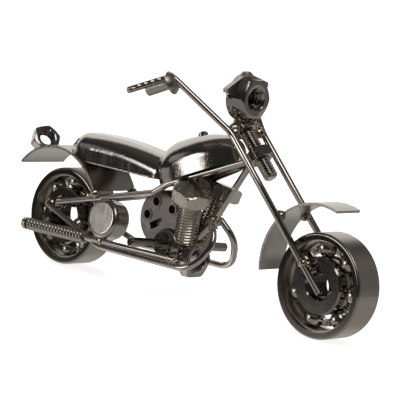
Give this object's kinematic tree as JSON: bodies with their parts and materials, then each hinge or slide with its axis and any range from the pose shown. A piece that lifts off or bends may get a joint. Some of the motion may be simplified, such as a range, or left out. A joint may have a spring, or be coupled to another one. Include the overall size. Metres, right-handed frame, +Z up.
{
  "type": "motorcycle ornament",
  "caption": "Desk motorcycle welded from ball bearings, hexagonal nuts, bolts, bent wire and sheet steel, with a fork that steers and wheels that roll.",
  "frame": {"origin": "on the surface the tyres stand on, under the middle of the whole ornament's length and width", "axes": "+X the riding direction, +Y the rider's left, +Z up"},
  "size_m": [0.162, 0.0678, 0.0814],
  "materials": {
    "satin_ring": "ground tread under black nickel, satin, brown grey",
    "bright_nickel": "mirror black nickel over drawn wire and polished ring",
    "dark_nickel": "black nickel over a machined fastener, semi-gloss",
    "satin_nickel": "black nickel, light beige satin",
    "satin_sheet": "black nickel over brushed sheet, soft gloss with short brush streaks",
    "ball_steel": "polished bearing ball",
    "cage_steel": "pressed sheet under black nickel",
    "weld": "lumpy weld metal under black nickel, golden brown"
  },
  "bodies": {
    "frame": {"rear_inner_ring": "bright_nickel", "right_lower_rail": "bright_nickel", "right_upper_rail": "bright_nickel", "right_footpeg_washer": "dark_nickel", "right_cylinder_bolt": "dark_nickel", "left_lower_rail": "bright_nickel", "left_upper_rail": "bright_nickel", "left_footpeg_washer": "dark_nickel", "left_cylinder_bolt": "dark_nickel", "steering_nut": "dark_nickel", "rear_fender": "satin_sheet", "frame_weld_beads": "weld", "down_tube": "bright_nickel", "fuel_tank": "satin_sheet", "tank_cap": "dark_nickel", "seat_shell": "satin_sheet", "tail_nut": "dark_nickel", "crankcase": "dark_nickel", "gearbox": "dark_nickel", "engine_nut": "dark_nickel", "footpeg_bar": "dark_nickel", "oil_tank": "dark_nickel", "exhaust_rod": "bright_nickel", "exhaust_tip": "satin_nickel", "exhaust_spring": "satin_nickel"},
    "steering": {"right_fork_wire": "bright_nickel", "left_fork_wire": "bright_nickel", "right_mirror_rivet": "satin_nickel", "left_mirror_rivet": "satin_nickel", "headlamp_nut": "dark_nickel", "headlamp_wings": "satin_nickel", "steering_bolt": "dark_nickel", "front_fender": "satin_sheet", "front_inner_ring": "bright_nickel", "fork_weld_beads": "weld"},
    "front_tyre": {"front_outer_ring": "satin_ring"},
    "front_cage": {"front_balls": "ball_steel", "front_left_cage": "cage_steel", "front_right_cage": "cage_steel"},
    "rear_tyre": {"rear_outer_ring": "satin_ring"},
    "rear_cage": {"rear_balls": "ball_steel", "rear_left_cage": "cage_steel", "rear_right_cage": "cage_steel"}
  },
  "joints": [
    {"name": "steering", "type": "hinge", "parent": "frame", "child": "steering", "pos_m": [0.0273, 0, 0.05413], "axis": [-0.7181, 0, 0.6959], "range_deg": [-40, 40]},
    {"name": "front_wheel_spin", "type": "hinge", "parent": "steering", "child": "front_tyre", "pos_m": [0.06352, 0, 0.0175], "axis": [0, 1, 0], "continuous": true},
    {"name": "front_cage_spin", "type": "hinge", "parent": "steering", "child": "front_cage", "pos_m": [0.06352, 0, 0.0175], "axis": [0, 1, 0], "continuous": true},
    {"name": "rear_wheel_spin", "type": "hinge", "parent": "frame", "child": "rear_tyre", "pos_m": [-0.05748, 0, 0.0175], "axis": [0, 1, 0], "continuous": true},
    {"name": "rear_cage_spin", "type": "hinge", "parent": "frame", "child": "rear_cage", "pos_m": [-0.05748, 0, 0.0175], "axis": [0, 1, 0], "continuous": true}
  ],
  "couplings": [
    {"joint": "front_cage_spin", "follows": "front_wheel_spin", "ratio": 0.6307},
    {"joint": "rear_cage_spin", "follows": "rear_wheel_spin", "ratio": 0.6195}
  ]
}
